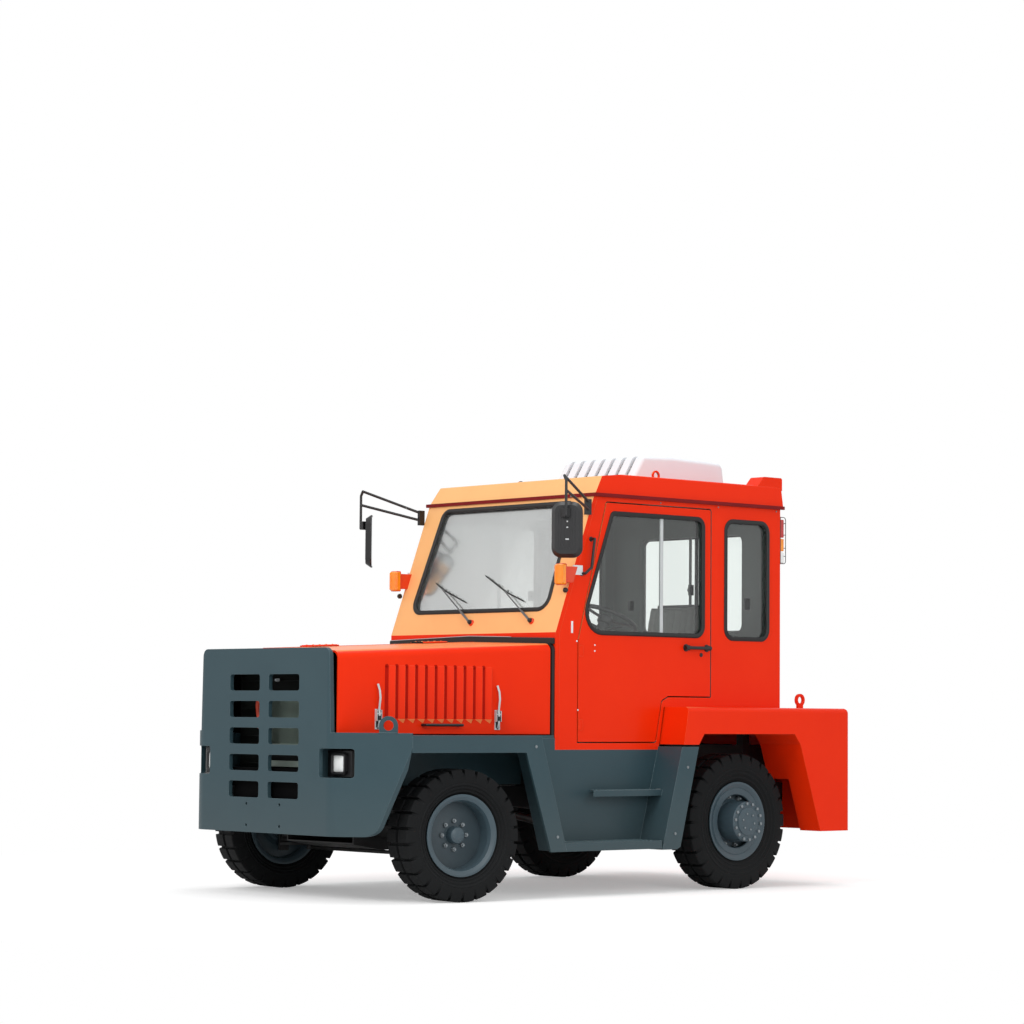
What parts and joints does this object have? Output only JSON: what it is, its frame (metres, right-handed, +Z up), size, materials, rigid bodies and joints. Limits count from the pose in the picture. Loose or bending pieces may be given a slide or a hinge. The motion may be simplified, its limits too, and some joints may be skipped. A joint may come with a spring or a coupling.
{
  "type": "airport baggage tug",
  "caption": "Four-wheeled airport towing tractor with a closed cab, slotted bent front plate, butterfly hood, lugged tyres and a roof cooling unit.",
  "frame": {"origin": "on the ground under the middle of the overall length and width", "axes": "+X forward, +Y to the vehicle's left, +Z up"},
  "size_m": [3.806, 1.9246, 2.582],
  "materials": {
    "amber_lens": "gloss",
    "black_plastic": "satin",
    "black_rubber": "matte",
    "chassis_paint": "satin",
    "clear_lens": "polished",
    "engine_iron": "matte",
    "glass": "polished",
    "grey_paint": "satin",
    "lamp_orange": "gloss",
    "latch_chrome": "polished",
    "pin_steel": "brushed",
    "radiator_metal": "matte",
    "red_lens": "gloss",
    "red_paint": "gloss",
    "seat_vinyl": "satin",
    "tyre_rubber": "matte",
    "wheel_paint": "satin",
    "white_plastic": "gloss"
  },
  "bodies": {
    "chassis": {"cab_floor": "chassis_paint", "cab_front_panel": "red_paint", "cab_glass": "glass", "cab_rear_panel": "red_paint", "cab_sides": "red_paint", "chassis_frame": "chassis_paint", "dashboard": "black_plastic", "drip_rail": "red_paint", "engine_block": "engine_iron", "front_axle": "chassis_paint", "front_fenders": "grey_paint", "front_plate": "grey_paint", "grab_handles": "black_plastic", "headlamp_lenses": "clear_lens", "headlamps": "black_plastic", "hood_gap_seal": "black_rubber", "hood_hinges": "red_paint", "hood_spine": "red_paint", "mirrors": "black_plastic", "radiator": "radiator_metal", "rear_axle": "chassis_paint", "rear_body": "red_paint", "rear_lamps": "red_lens", "roof_air_unit": "white_plastic", "roof_panel": "red_paint", "seat_frame": "black_plastic", "seat_pads": "seat_vinyl", "side_steps": "grey_paint", "steering_wheel": "black_plastic", "tow_hitch": "chassis_paint", "tow_pin": "pin_steel", "turn_lamp_brackets": "lamp_orange", "turn_lamp_lenses": "amber_lens", "wipers": "black_plastic"},
    "knuckle_left": {"knuckle_left": "chassis_paint"},
    "knuckle_right": {"knuckle_right": "chassis_paint"},
    "track_rod": {"track_rod": "chassis_paint"},
    "front_wheel_left": {"front_wheel_left": "wheel_paint", "front_tyre_left": "tyre_rubber"},
    "front_wheel_right": {"front_wheel_right": "wheel_paint", "front_tyre_right": "tyre_rubber"},
    "rear_wheel_left": {"rear_wheel_left": "wheel_paint", "rear_tyre_left": "tyre_rubber"},
    "rear_wheel_right": {"rear_wheel_right": "wheel_paint", "rear_tyre_right": "tyre_rubber"},
    "door_left": {"door_left": "red_paint", "door_glass_left": "glass", "door_handle_left": "black_plastic"},
    "door_right": {"door_right": "red_paint", "door_glass_right": "glass", "door_handle_right": "black_plastic"},
    "hood_left": {"hood_left": "red_paint", "hood_latches_left": "latch_chrome", "hood_handle_left": "black_plastic"},
    "hood_right": {"hood_right": "red_paint", "hood_latches_right": "latch_chrome", "hood_handle_right": "black_plastic"}
  },
  "joints": [
    {"name": "steer_left", "type": "hinge", "parent": "chassis", "child": "knuckle_left", "pos_m": [1.203, 0.69, 0.36], "axis": [0, 0, 1], "range_deg": [-27, 43]},
    {"name": "steer_right", "type": "hinge", "parent": "chassis", "child": "knuckle_right", "pos_m": [1.203, -0.69, 0.36], "axis": [0, 0, 1], "range_deg": [-27, 43]},
    {"name": "track_rod_pivot", "type": "hinge", "parent": "knuckle_left", "child": "track_rod", "pos_m": [1.05446, 0.71088, 0.256], "axis": [0, 0, 1], "range_deg": [-43, 27]},
    {"name": "front_wheel_left_spin", "type": "hinge", "parent": "knuckle_left", "child": "front_wheel_left", "pos_m": [1.21998, 0.81081, 0.36], "axis": [0.1392, 0.9903, 0], "continuous": true},
    {"name": "front_wheel_right_spin", "type": "hinge", "parent": "knuckle_right", "child": "front_wheel_right", "pos_m": [1.18602, -0.81081, 0.36], "axis": [0.1392, 0.9903, 0], "continuous": true},
    {"name": "rear_wheel_left_spin", "type": "hinge", "parent": "chassis", "child": "rear_wheel_left", "pos_m": [-0.957, 0.752, 0.398], "axis": [0, 1, 0], "continuous": true},
    {"name": "rear_wheel_right_spin", "type": "hinge", "parent": "chassis", "child": "rear_wheel_right", "pos_m": [-0.957, -0.752, 0.398], "axis": [0, 1, 0], "continuous": true},
    {"name": "door_left_swing", "type": "hinge", "parent": "chassis", "child": "door_left", "pos_m": [0.243, 0.74, 1.2], "axis": [0, 0, -1], "range_deg": [0, 75]},
    {"name": "door_right_swing", "type": "hinge", "parent": "chassis", "child": "door_right", "pos_m": [0.243, -0.74, 1.2], "axis": [0, 0, 1], "range_deg": [0, 75]},
    {"name": "hood_left_lift", "type": "hinge", "parent": "chassis", "child": "hood_left", "pos_m": [1.143, 0.056, 1.40661], "axis": [0.999, 0, -0.0442], "range_deg": [0, 75]},
    {"name": "hood_right_lift", "type": "hinge", "parent": "chassis", "child": "hood_right", "pos_m": [1.143, -0.056, 1.40661], "axis": [-0.999, 0, 0.0442], "range_deg": [0, 75]}
  ],
  "couplings": [
    {"joint": "steer_right", "follows": "steer_left", "ratio": 1},
    {"joint": "track_rod_pivot", "follows": "steer_left", "ratio": -1}
  ]
}
